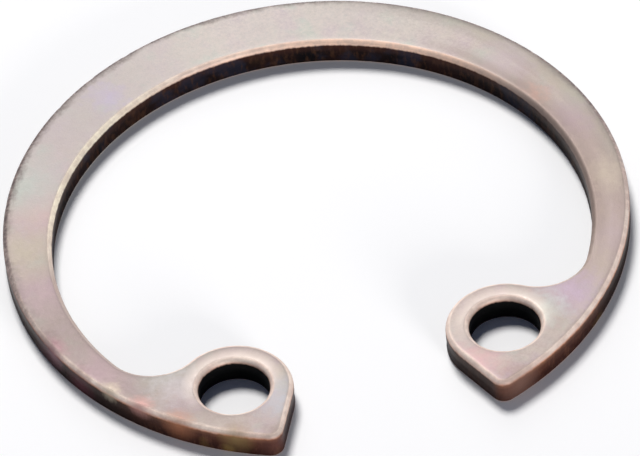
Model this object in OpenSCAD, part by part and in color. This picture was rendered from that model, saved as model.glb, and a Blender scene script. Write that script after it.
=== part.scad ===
// Internal retaining ring for a round bore: one piece of hardened spring steel strip, stamped to
// an eccentric band with a gap at the front and a lug with a plier hole at each end.
// The underside lies on z = 0, the axis of the outer circle is the z axis, the gap points to -Y.

/* [Ring] */
// Outside diameter of the free ring
free_d = 21.5; // [20:0.1:24]
// Thickness of the strip
strip_t = 0.95; // [0.9:0.05:1.2]
// Width of the band at the back, opposite the gap
back_w = 2.3; // [2:0.05:2.5]
// Width that the band runs down to at the middle of the gap
front_w = 0.75; // [0.65:0.05:1]

/* [Lugs] */
// Distance of the plier hole from the outer edge
hole_inset = 2.1; // [2.05:0.05:2.3]
// Angle between the middle of the gap and each plier hole
hole_angle = 32.8; // [30:0.1:36]
// Diameter of the plier holes
hole_d = 2.4; // [2.2:0.05:2.5]
// Radius of the lug head
head_r = 2; // [1.95:0.01:2.1]
// Radius of the root between the band and the lug
root_r = 1.65; // [1.4:0.05:1.9]
// Lean of the end faces towards the gap
end_lean = 25; // [22:0.5:28]
// Radius of the outer corner of each lug
corner_r = 0.45; // [0.35:0.05:0.6]

/* [Edges] */
// Width of the rolled edge on the punched side
top_edge = 0.2; // [0.12:0.01:0.25]
// Width of the broken edge on the underside
under_edge = 0.08; // [0.06:0.01:0.12]

/* [Hidden] */
steel = [0.72, 0.68, 0.66];
ring_fn = 144;
lug_fn = 48;
edge_fn = 20;
// Angle at which an edge round runs into its face
edge_run = 8;
// Depth by which two neighbouring arcs of the outline cross
blend = 0.01;
// Reach of the cutting shapes past the ring
reach = 3;

outer_r = free_d / 2;
bore_r = outer_r - (back_w + front_w) / 2;
bore_y = -(back_w - front_w) / 2;
hole_x = (outer_r - hole_inset) * sin(hole_angle);
hole_y = -(outer_r - hole_inset) * cos(hole_angle);

// Centre of the root arc, tangent to the lug head outside and to the inner contour inside
to_bore = norm([hole_x, hole_y - bore_y]);
bore_dir = [-hole_x, bore_y - hole_y] / to_bore;
root_a = head_r + root_r;
root_b = bore_r - root_r;
root_u = (pow(root_a, 2) - pow(root_b, 2) + pow(to_bore, 2)) / (2 * to_bore);
root_v = sqrt(pow(root_a, 2) - pow(root_u, 2));
root_x = hole_x + root_u * bore_dir[0] + root_v * bore_dir[1];
root_y = hole_y + root_u * bore_dir[1] - root_v * bore_dir[0];
// Direction from the root arc out through the band, away from the inner contour's centre
out_dir = [root_x, root_y - bore_y] / norm([root_x, root_y - bore_y]);

// Centre of the corner arc, inside the end face and inside the outer circle
end_out = [-cos(end_lean), -sin(end_lean)];
end_run = [sin(end_lean), -cos(end_lean)];
corner_in = corner_r - blend;
foot = [hole_x, hole_y] + (head_r - blend - corner_in) * end_out;
foot_run = foot * end_run;
corner_s = sqrt(pow(foot_run, 2) - foot * foot + pow(outer_r - corner_in, 2)) - foot_run;
corner_x = foot[0] + corner_s * end_run[0];
corner_y = foot[1] + corner_s * end_run[1];

// One corner of a section: the waste outside an edge round of the given width
module edge_waste(width) {
    r = width / (cos(edge_run) - sin(edge_run));
    translate([-r * cos(edge_run), -r * cos(edge_run)])
        difference() {
            square(reach);
            circle(r, $fn = edge_fn);
        }
}

// Section of the strip that ends in a wall at x = wall, with both edges of the wall broken
module wall_section(wall, width) {
    difference() {
        translate([wall - width, 0]) square([width, strip_t]);
        translate([wall, strip_t]) edge_waste(top_edge);
        translate([wall, 0]) mirror([0, 1]) edge_waste(under_edge);
    }
}

// Round plate with broken edges
module plate(r, fn) {
    rotate_extrude($fn = fn) wall_section(r, r);
}

// Round opening whose edges are broken where it leaves the strip
module opening(r, fn) {
    rotate_extrude($fn = fn)
        difference() {
            translate([0, -reach]) square([r + reach / 2, strip_t + 2 * reach]);
            mirror([1, 0]) wall_section(-r, reach);
        }
}

module bore() {
    translate([0, bore_y, 0]) opening(bore_r, ring_fn);
}

// Band from hole to hole round the back, before the outer edge is cut
module band() {
    far = 3 * outer_r;
    side = [far * sin(hole_angle), -far * cos(hole_angle)];
    difference() {
        linear_extrude(strip_t)
            polygon([[0, 0], side, [far, far], [-far, far], [-side[0], side[1]]]);
        bore();
    }
}

// Right lug before its root, outer edge and corner are cut
module lug() {
    translate([hole_x, hole_y, 0]) {
        plate(head_r, lug_fn);
        rotate([0, 0, 180 + end_lean])
            translate([0, outer_r, 0])
                rotate([90, 0, 0])
                    linear_extrude(outer_r) wall_section(head_r - blend, outer_r);
    }
    linear_extrude(strip_t)
        polygon([
            [hole_x, hole_y],
            [root_x, root_y],
            [root_x, root_y] + outer_r * out_dir,
            [hole_x, hole_y] + outer_r * end_run
        ]);
}

// Root arc, corner arc and plier hole of the right lug
module lug_cuts() {
    translate([root_x, root_y, 0]) opening(root_r + blend, lug_fn);
    translate([hole_x, hole_y, 0]) opening(hole_d / 2, lug_fn);
    translate([corner_x, corner_y, 0]) corner();
}

module corner() {
    to_end = 180 + end_lean;
    to_outer = 360 + atan2(corner_y, corner_x);
    rotate([0, 0, to_end])
        rotate_extrude(angle = to_outer - to_end, $fn = lug_fn)
            difference() {
                translate([corner_r / 4, -reach]) square([reach, strip_t + 2 * reach]);
                wall_section(corner_r, corner_r);
            }
}

module circlip() {
    color(steel)
        difference() {
            intersection() {
                plate(outer_r, ring_fn);
                union() {
                    band();
                    lug();
                    mirror([1, 0, 0]) lug();
                }
            }
            lug_cuts();
            mirror([1, 0, 0]) lug_cuts();
        }
}

circlip();
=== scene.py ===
import math

import bpy
import numpy as np
from mathutils import Matrix, Vector, noise
from mathutils.geometry import delaunay_2d_cdt


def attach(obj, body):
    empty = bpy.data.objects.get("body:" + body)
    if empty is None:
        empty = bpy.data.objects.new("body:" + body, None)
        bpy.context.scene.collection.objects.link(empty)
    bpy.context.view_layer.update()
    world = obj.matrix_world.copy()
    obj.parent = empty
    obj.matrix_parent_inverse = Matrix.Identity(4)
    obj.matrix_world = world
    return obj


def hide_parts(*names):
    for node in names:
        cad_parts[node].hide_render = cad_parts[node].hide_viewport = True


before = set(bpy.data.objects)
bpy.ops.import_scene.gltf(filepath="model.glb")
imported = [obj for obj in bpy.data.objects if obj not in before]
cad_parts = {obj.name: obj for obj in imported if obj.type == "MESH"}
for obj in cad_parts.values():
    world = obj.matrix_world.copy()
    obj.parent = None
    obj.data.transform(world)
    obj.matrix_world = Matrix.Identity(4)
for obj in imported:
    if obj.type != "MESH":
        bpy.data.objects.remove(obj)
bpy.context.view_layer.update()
scene = bpy.context.scene
scene.view_settings.view_transform = "Standard"

# Sizes of the ring in millimetres and degrees, the same as in the source of the part

OUTER_R = 10.75
THICK = 0.95
BACK_W = 2.3
FRONT_W = 0.75
HOLE_INSET = 2.1
HOLE_ANGLE = math.radians(32.8)
HOLE_R = 1.2
HEAD_R = 2.0
ROOT_R = 1.65
END_LEAN = math.radians(25)
CORNER_R = 0.45
ROLL = 0.2
UNDER = 0.08

BORE_R = OUTER_R - (BACK_W + FRONT_W) / 2
BORE = np.array([0, -(BACK_W - FRONT_W) / 2])
HOLE = (OUTER_R - HOLE_INSET) * np.array([math.sin(HOLE_ANGLE), -math.cos(HOLE_ANGLE)])

# The mesh: its depth below the CAD surface, the step along the outline, the rows of the section
# and the spacing of the points inside the two faces

SKIN = 0.006
STEP = 0.07
ROLL_ROWS = 8
WALL_ROWS = 12
UNDER_ROWS = 4
TOP_SPACING = 0.16
UNDER_SPACING = 0.3
ROW_RATIO = 0.866
# How far the faces reach in from the outer circle, at the lugs
FACE_REACH = 4.6
# Share of the wall that shearing leaves smooth
SMOOTH_SHARE = 0.36


def unit(v):
    return v / np.linalg.norm(v)


def heading(centre, point):
    return math.atan2(point[1] - centre[1], point[0] - centre[0])


def swing(a0, a1, sign):
    """Both angles, with the second one moved on so that the turn goes the way of the sign."""
    while (a1 - a0) * sign < 0:
        a1 += sign * 2 * math.pi
    return a0, a1


def arc(centre, r, a0, a1, void):
    """Points and outward normals along an arc, without its last point.

    void says that the arc bounds an opening.
    """
    n = max(3, int(abs(a1 - a0) * r / STEP))
    t = np.linspace(a0, a1, n, endpoint=False)
    d = np.stack([np.cos(t), np.sin(t)], -1)
    return centre + r * d, -d if void else d


def line(a, b, normal):
    n = max(2, int(np.linalg.norm(b - a) / STEP))
    t = np.linspace(0, 1, n, endpoint=False)[:, None]
    return a + (b - a) * t, np.repeat(normal[None], n, 0)


def ring_outline():
    """Points and normals of the outline.

    The right half runs from the back round the outer edge to the lug and back along the inner
    edge, then its mirror image follows.
    """
    # centre of the root arc, tangent to the lug head and to the inner contour
    d = np.linalg.norm(BORE - HOLE)
    u = ((HEAD_R + ROOT_R) ** 2 - (BORE_R - ROOT_R) ** 2 + d**2) / (2 * d)
    v = math.sqrt((HEAD_R + ROOT_R) ** 2 - u**2)
    e = (BORE - HOLE) / d
    root = HOLE + u * e + v * np.array([e[1], -e[0]])
    root_to_bore = BORE + unit(root - BORE) * BORE_R
    head_to_root = HOLE + unit(root - HOLE) * HEAD_R

    # centre of the corner arc, tangent to the end face and to the outer circle
    out = np.array([-math.cos(END_LEAN), -math.sin(END_LEAN)])
    run = np.array([math.sin(END_LEAN), -math.cos(END_LEAN)])
    end_to_head = HOLE + out * HEAD_R
    foot = end_to_head - out * CORNER_R
    f = foot @ run
    corner = foot + run * (math.sqrt(f * f - foot @ foot + (OUTER_R - CORNER_R) ** 2) - f)
    to_end = corner + out * CORNER_R
    to_corner = unit(corner) * OUTER_R

    def turn(centre, r, start, end, sign, void=False):
        return arc(centre, r, *swing(start, end, sign), void)

    back = math.pi / 2
    axis = np.zeros(2)
    half = [
        turn(axis, OUTER_R, back, heading(axis, to_corner), -1),
        turn(corner, CORNER_R, heading(corner, to_corner), heading(corner, to_end), -1),
        line(to_end, end_to_head, out),
        turn(HOLE, HEAD_R, heading(HOLE, end_to_head), heading(HOLE, head_to_root), -1),
        turn(root, ROOT_R, heading(root, head_to_root), heading(root, root_to_bore), 1, True),
        turn(BORE, BORE_R, heading(BORE, root_to_bore), back, 1, True),
    ]
    p = np.concatenate([x[0] for x in half] + [np.array([[0, BORE[1] + BORE_R]])])
    n = np.concatenate([x[1] for x in half] + [np.array([[0, -1.0]])])
    # the two points on the mirror plane belong to one half only
    others = slice(-2, 0, -1)
    flip = np.array([-1, 1])
    return np.concatenate([p, p[others] * flip]), np.concatenate([n, n[others] * flip])


def section():
    """Rows of the section from the top face down to the underside.

    Each row has its inset from the wall, its height and the share of the wall passed.
    """
    rows = []
    for i in range(ROLL_ROWS + 1):
        a = math.pi / 2 * i / ROLL_ROWS
        rows.append((ROLL * (1 - math.sin(a)), THICK - ROLL * (1 - math.cos(a)), 0.0))
    top = THICK - ROLL
    for i in range(1, WALL_ROWS):
        share = i / WALL_ROWS
        rows.append((0.0, top + (UNDER - top) * share, share))
    for i in range(UNDER_ROWS + 1):
        a = math.pi / 2 * i / UNDER_ROWS
        rows.append((UNDER * (1 - math.cos(a)), UNDER * (1 - math.sin(a)), 1.0))
    return rows


def fbm(point, scale, layer):
    x, y = point
    place = Vector((x * scale, y * scale, layer))
    return noise.fractal(place, 1.0, 2.0, 3, noise_basis="PERLIN_ORIGINAL")


def wall_rings(points, normals, seed):
    """One loop of vertices for each row of the section.

    The roll has small nicks, and the sheared wall is rough below a wavy line.
    """
    wave = [0.12 * fbm(p, 0.9, seed) + 0.05 * fbm(p, 4, seed + 3) for p in points]
    nick = [max(0.0, fbm(p, 2.3, seed + 9) - 0.42) for p in points]
    loops = []
    for inset, z, share in section():
        loop = []
        for i, (p, n) in enumerate(zip(points, normals)):
            depth = inset + SKIN
            if share > 0:
                torn = share - (SMOOTH_SHARE + wave[i])
                edge = min(share, 1 - share) * 4
                if torn > 0 and share < 1:
                    relief = 0.010 + 0.014 * abs(fbm(p, 5.5, z * 7 + seed))
                    depth += min(1.0, torn * 6) * min(1, edge + 0.3) * relief
                elif share < 1:
                    depth += min(1, edge) * 0.003 * abs(fbm(p, 9, seed + 5))
            elif inset > 0 and z < THICK - 0.01:
                depth += 0.05 * nick[i] * math.sin(math.pi * (THICK - z) / ROLL * 0.9)
            loop.append((p[0] - n[0] * depth, p[1] - n[1] * depth, z))
        loops.append(loop)
    return loops


def within(polygon, points):
    """Tells for each point whether it lies in the polygon."""
    x, y = points[:, 0], points[:, 1]
    hit = np.zeros(len(points), bool)
    for a, b in zip(polygon, np.roll(polygon, -1, 0)):
        crosses = (a[1] > y) != (b[1] > y)
        with np.errstate(divide="ignore", invalid="ignore"):
            at = (b[0] - a[0]) * (y - a[1]) / (b[1] - a[1]) + a[0]
        hit ^= crosses & (x < at)
    return hit


def face_fill(loops, spacing):
    """Fills a flat face between the outline and the two holes.

    It puts points inside, so that the face can carry a faint undulation. It returns the points,
    the faces, the border point that each point comes from or -1, and the number of border points.
    """
    verts, edges = [], []
    for loop in loops:
        base = len(verts)
        verts += [Vector((x, y)) for x, y, _ in loop]
        edges += [(base + i, base + (i + 1) % len(loop)) for i in range(len(loop))]
    border = len(verts)
    outline = np.array([(v.x, v.y) for v in verts])
    rows = int(2 * OUTER_R / (spacing * ROW_RATIO)) + 1
    cols = int(2 * OUTER_R / spacing) + 1
    grid = np.array([
        (-OUTER_R + (c + 0.5 * (r % 2)) * spacing, -OUTER_R + r * spacing * ROW_RATIO)
        for r in range(rows) for c in range(cols)
    ])
    away = np.linalg.norm(grid, axis=1)
    grid = grid[(away < OUTER_R) & (away > OUTER_R - FACE_REACH)]
    near = np.array([np.min(np.sum((outline - g) ** 2, 1)) for g in grid])
    grid = grid[near > (spacing * 0.55) ** 2]
    verts += [Vector(g) for g in grid]
    out_v, _, faces, origins, _, _ = delaunay_2d_cdt(verts, edges, [], 0, 1e-6)

    points = np.array([(v.x, v.y) for v in out_v])
    middles = np.array([points[list(f)].mean(0) for f in faces])
    outer, *holes = [np.array([(x, y) for x, y, _ in loop]) for loop in loops]
    keep = within(outer, middles)
    for hole in holes:
        keep &= ~within(hole, middles)
    faces = [f for f, kept in zip(faces, keep) if kept]
    return points, faces, [min(o) if o else -1 for o in origins], border


def build_ring():
    borders = [(*ring_outline(), 0.0)]
    for sign in (1, -1):
        centre = HOLE * np.array([sign, 1])
        borders.append((*arc(centre, HOLE_R, 0, 2 * math.pi, True), 20.0 * sign))
    verts, faces = [], []
    tops, lows = [], []
    top_ids, low_ids = [], []
    for points, normals, seed in borders:
        loops = wall_rings(points, normals, seed)
        n = len(points)
        base = len(verts)
        last = base + (len(loops) - 1) * n
        for loop in loops:
            verts += loop
        for start in range(base, last, n):
            for i in range(n):
                a, b = start + i, start + (i + 1) % n
                faces.append((a, b, b + n, a + n))
        tops.append(loops[0])
        lows.append(loops[-1])
        top_ids += list(range(base, base + n))
        low_ids += list(range(last, last + n))

    # the top face waves by a few thousandths of a millimetre, the underside is flat
    for loops, ids, z, spacing in (
        (tops, top_ids, THICK, TOP_SPACING),
        (lows, low_ids, 0.0, UNDER_SPACING),
    ):
        points, fill, origin, border = face_fill(loops, spacing)
        index = {}
        for i, p in enumerate(points):
            if 0 <= origin[i] < border:
                index[i] = ids[origin[i]]
                continue
            index[i] = len(verts)
            dip = 0.0025 * abs(fbm(p, 0.6, 1.0)) + 0.001 * abs(fbm(p, 2.5, 5.0)) if z > 0 else 0.0
            verts.append((p[0], p[1], z - dip))
        faces += [tuple(index[i] for i in f) for f in fill]

    mesh = bpy.data.meshes.new("ring_skin")
    mesh.from_pydata([(x / 1000, y / 1000, z / 1000) for x, y, z in verts], [], faces)
    mesh.validate()
    obj = bpy.data.objects.new("ring_skin", mesh)
    scene.collection.objects.link(obj)
    bpy.context.view_layer.objects.active = obj
    obj.select_set(True)
    bpy.ops.object.mode_set(mode="EDIT")
    bpy.ops.mesh.select_all(action="SELECT")
    bpy.ops.mesh.delete_loose()
    bpy.ops.mesh.select_all(action="SELECT")
    bpy.ops.mesh.normals_make_consistent(inside=False)
    bpy.ops.object.mode_set(mode="OBJECT")
    mesh.shade_smooth()
    return obj


# Material

# Stains on walls and edges: place in millimetres, size and colour
STAINS = (
    ((-5.2, -9.5, 0.70), 0.75, (0.24, 0.165, 0.065)),
    ((-6.9, -8.3, 0.70), 0.75, (0.36, 0.145, 0.075)),
    ((-7.9, -7.2, 0.95), 0.60, (0.48, 0.24, 0.22)),
    ((-8.7, -6.2, 0.95), 0.50, (0.50, 0.43, 0.32)),
    ((-3.9, -10.0, 0.45), 0.90, (0.10, 0.040, 0.034)),
    ((4.5, -9.7, 0.45), 1.00, (0.21, 0.115, 0.090)),
    ((-10.1, -3.7, 0.75), 0.70, (0.30, 0.130, 0.170)),
    ((-9.6, -5.1, 0.35), 0.85, (0.115, 0.030, 0.045)),
    ((-10.3, -3.2, 0.40), 0.85, (0.085, 0.030, 0.040)),
)
# Soft tints of the flat face: place in millimetres, size and colour
TINTS = (
    ((7.2, -6.5, 0.95), 1.50, (0.37, 0.28, 0.38)),
    ((6.1, -7.0, 0.95), 1.10, (0.38, 0.43, 0.37)),
    ((3.4, -8.7, 0.95), 1.20, (0.48, 0.29, 0.29)),
    ((-6.6, -5.9, 0.95), 1.60, (0.29, 0.31, 0.28)),
    ((-9.0, -5.4, 0.95), 1.80, (0.31, 0.22, 0.24)),
    ((-9.8, -0.8, 0.95), 1.60, (0.285, 0.205, 0.225)),
    ((-9.9, 1.0, 0.95), 1.50, (0.305, 0.270, 0.205)),
    ((-8.8, 2.8, 0.95), 1.40, (0.340, 0.245, 0.240)),
    ((-9.2, 4.4, 0.95), 1.80, (0.275, 0.310, 0.285)),
    ((-5.5, 7.8, 0.95), 0.90, (0.300, 0.260, 0.350)),
    ((8.2, 5.2, 0.95), 1.30, (0.345, 0.285, 0.300)),
    ((10.2, 2.6, 0.95), 1.20, (0.300, 0.285, 0.240)),
    ((9.5, 1.6, 0.95), 1.30, (0.300, 0.222, 0.248)),
    ((8.6, 3.1, 0.95), 0.70, (0.460, 0.270, 0.215)),
    ((9.9, -1.4, 0.95), 1.20, (0.400, 0.340, 0.270)),
    ((9.3, -4.3, 0.95), 1.30, (0.330, 0.262, 0.265)),
    ((-3.3, -8.3, 0.95), 1.20, (0.330, 0.345, 0.385)),
    ((-6.5, -6.8, 0.95), 1.20, (0.370, 0.320, 0.335)),
)
# Painted shade of the flat face, low on the left and on the right: place and colour
FACE_PAINTED_SHADE = (
    ((-8.6, -4.2, THICK), (0.195, 0.152, 0.138)),
    ((9.4, -2.8, THICK), (0.300, 0.235, 0.212)),
)
# Painted highlight and shade on the roll along the inner edge: cream and salmon highlights, a plain
# part without highlight and a dull painted shade; ramps in x and in y and colour
INNER_ROLL_HIGHLIGHT_SHADE = (
    ((-2.0, -6.0), (-1.0, 3.0), (0.98, 0.88, 0.70)),
    ((-4.0, 2.0), (3.0, 5.5, 0.0, 0.8), (0.96, 0.66, 0.50)),
    ((-6.0, -7.5), (1.5, -0.5, 0.0, 0.7), (0.36, 0.29, 0.27)),
    ((6.0, 8.0), (4.5, 2.5, 0.0, 0.8), (0.26, 0.20, 0.175)),
)


class Tree:
    """The nodes of one material, with a method for each kind that is used often."""

    def __init__(self, name):
        self.material = bpy.data.materials.new(name)
        self.material.use_nodes = True
        self.tree = self.material.node_tree
        self.tree.nodes.clear()

    def add(self, kind, inputs=None, **settings):
        node = self.tree.nodes.new(kind)
        for key, value in settings.items():
            setattr(node, key, value)
        for key, value in (inputs or {}).items():
            if isinstance(value, bpy.types.NodeSocket):
                self.tree.links.new(value, node.inputs[key])
            else:
                node.inputs[key].default_value = value
        return node

    def math(self, operation, a, b=0.0, clamp=False):
        node = self.add("ShaderNodeMath", {0: a, 1: b}, operation=operation, use_clamp=clamp)
        return node.outputs[0]

    def times(self, *factors):
        total = factors[0]
        for factor in factors[1:]:
            total = self.math("MULTIPLY", total, factor)
        return total

    def vector(self, operation, inputs):
        return self.add("ShaderNodeVectorMath", inputs, operation=operation).outputs

    def distance(self, where, point):
        return self.vector("DISTANCE", {0: where, 1: point})["Value"]

    def noise(self, where, scale, detail, rough, distort=0.0):
        return self.add("ShaderNodeTexNoise", {
            "Vector": where, "Scale": scale, "Detail": detail, "Roughness": rough,
            "Distortion": distort,
        }).outputs[0]

    def ramp(self, value, lo, hi, a=0.0, b=1.0):
        """Runs from a at lo to b at hi, and stays there beyond them."""
        return self.add("ShaderNodeMapRange", {
            "Value": value, "From Min": lo, "From Max": hi, "To Min": a, "To Max": b,
        }, clamp=True).outputs[0]

    def mix(self, factor, a, b):
        inputs = {0: factor}
        for key, value in ((6, a), (7, b)):
            if isinstance(value, float):
                value = (value, value, value)
            inputs[key] = (*value, 1) if isinstance(value, tuple) else value
        return self.add("ShaderNodeMix", inputs, data_type="RGBA").outputs[2]

    def paint(self, base, colour, *masks):
        """Lays a colour over the base by the product of the masks."""
        return self.mix(self.times(*masks), base, colour)


class Steel(Tree):
    """The surface of the ring. All places and lengths in it are in millimetres."""

    def __init__(self):
        super().__init__("spring_steel")
        place = self.add("ShaderNodeTexCoord").outputs["Object"]
        self.mm = self.vector("SCALE", {0: place, "Scale": 1000.0})[0]
        self.x, self.y, self.z = self.add("ShaderNodeSeparateXYZ", {0: self.mm}).outputs
        self.flat = self.vector("MULTIPLY", {0: self.mm, 1: (1.0, 1.0, 0.0)})[0]
        self.radius = self.vector("LENGTH", {0: self.flat})["Value"]
        self.bores = [self.distance(self.flat, (x, HOLE[1], 0.0)) for x in (-HOLE[0], HOLE[0])]
        normal = self.add("ShaderNodeNewGeometry").outputs["Normal"]
        level = self.math("ABSOLUTE", self.add("ShaderNodeSeparateXYZ", {0: normal}).outputs["Z"])

        # masks: the roll, the outer and the inner side, the front, the right of the band
        self.roll = self.ramp(level, 0.93, 0.998, 1.0, 0.0)
        self.outside = self.ramp(self.radius, 10.25, 10.65)
        self.inside = self.math("SUBTRACT", 1.0, self.outside)
        self.front = self.ramp(self.y, 2.0, -5.0)
        self.right = self.ramp(self.x, 5.5, 8.5)

        self.patch = self.noise(self.mm, 1.1, 3.0, 0.5, 0.4)
        self.green = self.noise(self.mm, 0.8, 3.0, 0.5)
        self.mottle = self.noise(self.mm, 3.0, 4.0, 0.65)
        self.grain = self.noise(self.mm, 9.0, 5.0, 0.7)
        # noise drawn out in height, as shearing leaves it
        drawn = self.add("ShaderNodeMapping", {"Vector": self.mm, "Scale": (1.0, 1.0, 0.35)})
        self.wall_cloud = self.noise(drawn.outputs[0], 0.9, 4.0, 0.6)
        self.wall_fine = self.noise(drawn.outputs[0], 6.0, 4.0, 0.65)

    def face_colour(self):
        """The flat faces: warm satin grey with soft clouds, tints and lengthwise lanes, painted
        shade low on the left, on the right and at the back left, and a painted highlight behind
        each plier hole.
        """
        cloud = self.noise(self.mm, 0.5, 3.0, 0.6)
        face = self.mix(self.ramp(cloud, 0.42, 0.58), (0.345, 0.303, 0.266), (0.330, 0.266, 0.268))
        face = self.paint(face, (0.325, 0.312, 0.292), self.ramp(self.y, 3.0, 9.0, 0.0, 0.7))
        # the pink patches and the mottle fade towards the back
        share = self.ramp(self.y, 9.0, -1.0, 0.35, 1.0)
        pink = self.ramp(self.patch, 0.48, 0.66, 0.0, 0.75)
        face = self.paint(face, (0.305, 0.232, 0.286), share, pink)
        face = self.paint(face, (0.288, 0.318, 0.280), self.ramp(self.green, 0.54, 0.66, 0.0, 0.8))
        mottled = self.ramp(self.mottle, 0.40, 0.62, 0.5, 0.0)
        face = self.paint(face, (0.235, 0.194, 0.186), share, mottled)
        face = self.paint(face, (0.48, 0.412, 0.378), self.ramp(self.grain, 0.38, 0.66, 0.0, 0.6))

        # brown and khaki lanes along the right of the band
        turn = self.times(self.math("ARCTAN2", self.x, self.y), 1.3)
        along = self.add("ShaderNodeCombineXYZ", {0: self.radius, 1: turn}).outputs[0]
        lanes = self.noise(along, 1.7, 2.0, 0.5)
        brown = self.ramp(lanes, 0.40, 0.55, 0.6, 0.0)
        face = self.paint(face, (0.235, 0.180, 0.160), self.right, brown)
        khaki = self.ramp(lanes, 0.50, 0.66, 0.0, 0.6)
        face = self.paint(face, (0.40, 0.345, 0.270), self.right, khaki)

        # painted shade: the face is darker towards the low left and the right
        for spot, tint in FACE_PAINTED_SHADE:
            away = self.distance(self.mm, spot)
            face = self.paint(face, tint, self.ramp(away, 2.0, 11.0, 0.75, 0.0))
        # painted shade at the back left of the face
        back_left_shade = self.ramp(self.x, -1.0, -6.0, 0.0, 0.55), self.ramp(self.y, 3.0, 6.5)
        face = self.paint(face, (0.255, 0.226, 0.224), *back_left_shade)
        right_margin = (
            self.ramp(self.radius, 9.9, 10.5),
            self.ramp(self.x, 2.0, 6.0, 0.0, 0.55),
            self.ramp(self.y, -3.0, 1.0),
        )
        face = self.paint(face, (0.205, 0.190, 0.160), *right_margin)

        uneven = self.times(self.math("SUBTRACT", self.mottle, 0.5), 2.0)
        for spot, size, tint in TINTS:
            away = self.math("ADD", self.distance(self.mm, spot), uneven)
            face = self.paint(face, tint, self.ramp(away, 0.0, size, 0.6, 0.0))

        # painted highlight: a bright zone behind each plier hole
        for bore in self.bores:
            near = self.ramp(bore, HOLE_R + ROLL, HOLE_R + 3 * ROLL, 0.6, 0.0)
            face = self.paint(face, (0.58, 0.50, 0.45), near, self.ramp(self.y, -8.0, -6.6))
        return face

    def wall_colour(self):
        """The sheared walls: black scale inside, rubbed to copper and ochre outside, with painted
        shade at the foot of the outer wall and in the plier holes.
        """
        cloud, fine = self.wall_cloud, self.wall_fine
        ochre = self.noise(self.mm, 0.7, 2.0, 0.5)
        inner = self.mix(self.ramp(cloud, 0.35, 0.68), (0.003, 0.002, 0.003), (0.018, 0.006, 0.005))
        inner = self.paint(inner, (0.042, 0.021, 0.007), self.ramp(ochre, 0.60, 0.72, 0.0, 0.5))
        inner = self.paint(inner, (0.050, 0.015, 0.009), self.ramp(self.z, 0.45, 0.72, 0.0, 0.6))
        blue = self.ramp(self.green, 0.52, 0.60, 0.0, 0.55)
        inner = self.paint(inner, (0.016, 0.018, 0.034), blue)
        inner = self.paint(inner, (0.068, 0.030, 0.015), self.ramp(fine, 0.50, 0.66, 0.0, 0.6))
        inner = self.paint(inner, (0.045, 0.024, 0.020), self.ramp(self.y, -7.0, -8.5, 0.0, 0.6))

        # painted shade: the outer wall darkens towards its foot, where it meets the floor
        foot_shade = self.ramp(self.z, 0.22, 0.50)
        outer = self.mix(foot_shade, (0.033, 0.009, 0.006), (0.078, 0.026, 0.015))
        outer = self.paint(outer, (0.30, 0.135, 0.08), self.ramp(self.z, 0.60, 0.78, 0.0, 0.7))
        outer = self.paint(outer, (0.035, 0.014, 0.012), self.ramp(cloud, 0.40, 0.66, 0.55, 0.0))
        outer = self.paint(outer, (0.22, 0.10, 0.06), self.ramp(fine, 0.48, 0.75, 0.0, 0.35))
        outer = self.paint(outer, (0.20, 0.125, 0.042), self.ramp(ochre, 0.58, 0.70, 0.0, 0.6))
        outer = self.paint(outer, (0.013, 0.007, 0.006), self.ramp(self.y, -8.4, -6.4, 0.0, 0.85))

        wall = self.mix(self.outside, inner, outer)
        # painted shade: the walls of the plier holes are painted flat near-black, deeper than the
        # black scale around them
        for bore in self.bores:
            wall = self.paint(wall, (0.002, 0.002, 0.002), self.ramp(bore, 1.35, 1.5, 1.0, 0.0))
        return wall

    def roll_colour(self):
        """The rolled edge: bright beige above, the rubbed metal of the roll with a painted
        highlight on it, copper below, and painted shade outside at the back.
        """
        # the bright beige stands for the rubbed metal of the roll and for a painted highlight on it
        edge = self.mix(self.ramp(self.patch, 0.4, 0.65), (0.92, 0.78, 0.68), (0.88, 0.69, 0.60))
        below = self.ramp(self.z, THICK - 0.8 * ROLL, THICK - 0.4 * ROLL, 1.0, 0.0)
        share = self.ramp(self.outside, 0.0, 1.0, 0.6, 1.0)
        edge = self.paint(edge, (0.50, 0.20, 0.105), below, share)
        # painted highlight and painted shade on parts of the inner roll
        for across, along, tint in INNER_ROLL_HIGHLIGHT_SHADE:
            part = self.ramp(self.x, *across), self.ramp(self.y, *along)
            edge = self.paint(edge, tint, self.inside, *part)
        edge = self.paint(edge, (0.58, 0.45, 0.39), self.ramp(self.mottle, 0.40, 0.60, 0.0, 0.5))
        # painted shade: the outer roll at the back, which faces away from the light, is painted
        # dark
        behind = self.math("SUBTRACT", 1.0, self.front)
        back_roll_shade = self.ramp(self.wall_fine, 0.35, 0.6, 0.5, 0.95)
        return self.paint(edge, (0.13, 0.09, 0.10), self.outside, behind, back_roll_shade)

    def outer_edge_shade(self):
        """Mask of the thin ragged painted shade line on the outer edge, strong at the back and none
        in front.
        """
        fine = self.ramp(self.wall_fine, 0.3, 0.7, -0.035, 0.035)
        ragged = self.math("ADD", fine, self.ramp(self.wall_cloud, 0.35, 0.65, -0.10, 0.10))
        line_at = self.ramp(self.math("ADD", self.radius, ragged), 10.38, 10.58)
        less_right = self.ramp(self.x, 2.0, 7.0, 1.0, 0.35)
        return self.times(
            line_at,
            self.math("SUBTRACT", less_right, self.front, clamp=True),
            self.ramp(self.wall_fine, 0.32, 0.62, 0.35, 0.75),
            self.ramp(self.y, -2.0, 5.0, 0.6, 1.0),
        )

    def finish(self):
        colour = self.mix(self.roll, self.face_colour(), self.roll_colour())
        # painted shade: a darker rim along the inner edge on the right, without highlight
        right_inner_shade = self.ramp(self.distance(self.flat, (*BORE, 0.0)), 9.3, 9.9, 0.75, 0.0)
        not_lug = self.ramp(self.y, -5.5, -3.5)
        colour = self.paint(colour, (0.20, 0.15, 0.13), right_inner_shade, self.right, not_lug)
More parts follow.
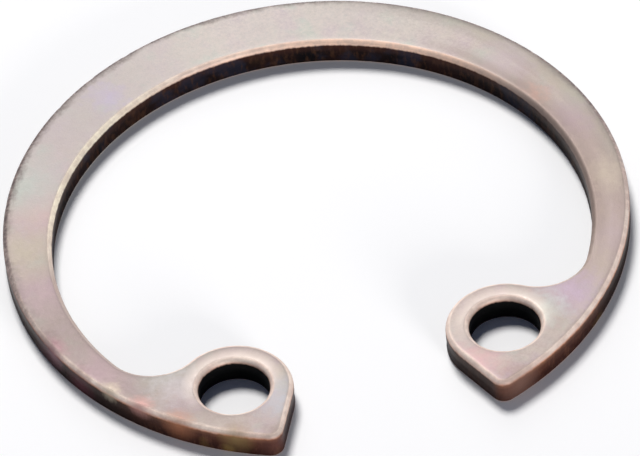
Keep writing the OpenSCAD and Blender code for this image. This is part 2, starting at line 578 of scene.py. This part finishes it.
        # the wall ends at a slightly wavy line under the roll
        wavy = self.math("ADD", self.z, self.ramp(self.wall_fine, 0.3, 0.7, -0.018, 0.018))
        below_roll = self.ramp(wavy, THICK - ROLL, THICK - 0.7 * ROLL, 1.0, 0.0)
        side = self.times(self.ramp(self.z, 0.0, 0.04), below_roll)
        colour = self.mix(side, colour, self.wall_colour())
        # painted shade: a thin dark line along the outer edge, mostly at the back
        colour = self.paint(colour, (0.115, 0.092, 0.086), self.outer_edge_shade())
        uneven = self.times(self.math("SUBTRACT", self.wall_fine, 0.5), 0.5)
        for spot, size, tint in STAINS:
            away = self.math("ADD", self.distance(self.mm, spot), uneven)
            colour = self.paint(colour, tint, self.ramp(away, 0.0, size, 0.7, 0.0))

        rough = self.mix(self.roll, self.ramp(self.grain, 0.3, 0.7, 0.44, 0.54), 0.52)
        rough = self.mix(side, rough, self.ramp(self.z, 0.35, 0.6, 0.62, 0.42))
        pits = self.times(self.noise(self.mm, 14.0, 6.0, 0.7), 0.6)
        bump = self.add("ShaderNodeBump", {
            "Strength": 0.35,
            "Distance": 0.00002,
            "Height": self.math("ADD", pits, self.times(self.grain, 0.4)),
        })
        shader = self.add("ShaderNodeBsdfPrincipled", {
            "Specular IOR Level": 0.1,
            "Metallic": self.ramp(self.roll, 0.0, 1.0, 0.28, 0.2),
            "Base Color": colour,
            "Roughness": rough,
            "Normal": bump.outputs[0],
        })
        self.add("ShaderNodeOutputMaterial", {0: shader.outputs[0]})
        return self.material


ring = build_ring()
ring.data.materials.append(Steel().finish())
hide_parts("circlip")
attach(ring, "root")


# Floor

bpy.ops.mesh.primitive_plane_add(size=6.0, location=(0, 0, 0))
floor = bpy.context.object
floor.name = "floor"
paper = bpy.data.materials.new("floor")
paper.use_nodes = True
paper_inputs = paper.node_tree.nodes["Principled BSDF"].inputs
paper_inputs["Base Color"].default_value = (0.95, 0.95, 0.95, 1)
paper_inputs["Roughness"].default_value = 0.9
floor.data.materials.append(paper)


# Light: a key from behind, a weak card behind and a low light in front, all aimed at the ring

def area(name, place, size, watts, colour):
    light = bpy.data.lights.new(name, "AREA")
    light.shape = "DISK"
    light.size = size
    light.energy = watts
    light.color = colour
    obj = bpy.data.objects.new(name, light)
    scene.collection.objects.link(obj)
    obj.location = place
    obj.rotation_euler = (-Vector(place)).to_track_quat("-Z", "Y").to_euler()


area("key", (-0.008, 0.235, 0.350), 0.15, 1.80, (1.0, 0.985, 0.965))
area("back_card", (0.020, 0.185, 0.095), 0.14, 0.08, (0.97, 0.98, 1.0))
area("front", (0.10, -0.30, 0.055), 0.11, 0.64, (1.0, 0.97, 0.95))

world = bpy.data.worlds.new("studio")
scene.world = world
world.use_nodes = True
sky = world.node_tree.nodes["Background"].inputs
sky["Color"].default_value = (0.50, 0.63, 1.0, 1)
sky["Strength"].default_value = 0.098


# Camera, at the place that was fitted to the photo: degrees, and pixels of a picture 640 wide

PHOTO_W = 640
DISTANCE = 20 * OUTER_R / 1000
FOCAL_PX = 6287.2
AZIMUTH, ELEVATION, TILT = -10.79, 43.99, -5.303
AIM_PX = (-4.748, -17.806)


def aim_camera():
    a, e, r = (math.radians(v) for v in (AZIMUTH, ELEVATION, TILT))
    back = Vector((math.sin(a) * math.cos(e), -math.cos(a) * math.cos(e), math.sin(e)))
    right = back.cross(Vector((0, 0, -1))).normalized()
    up = right.cross(-back)
    right, up = math.cos(r) * right + math.sin(r) * up, -math.sin(r) * right + math.cos(r) * up
    data = bpy.data.cameras.new("camera")
    data.sensor_fit = "HORIZONTAL"
    data.sensor_width = 36.0
    data.lens = FOCAL_PX * data.sensor_width / PHOTO_W
    data.shift_x = -AIM_PX[0] / PHOTO_W
    data.shift_y = AIM_PX[1] / PHOTO_W
    data.clip_start = 0.01
    data.clip_end = 20
    obj = bpy.data.objects.new("camera", data)
    scene.collection.objects.link(obj)
    place = Vector((0, 0, THICK / 1000)) + back * DISTANCE
    turn = Matrix((right, up, back)).transposed()
    obj.matrix_world = Matrix.Translation(place) @ turn.to_4x4()
    scene.camera = obj


aim_camera()
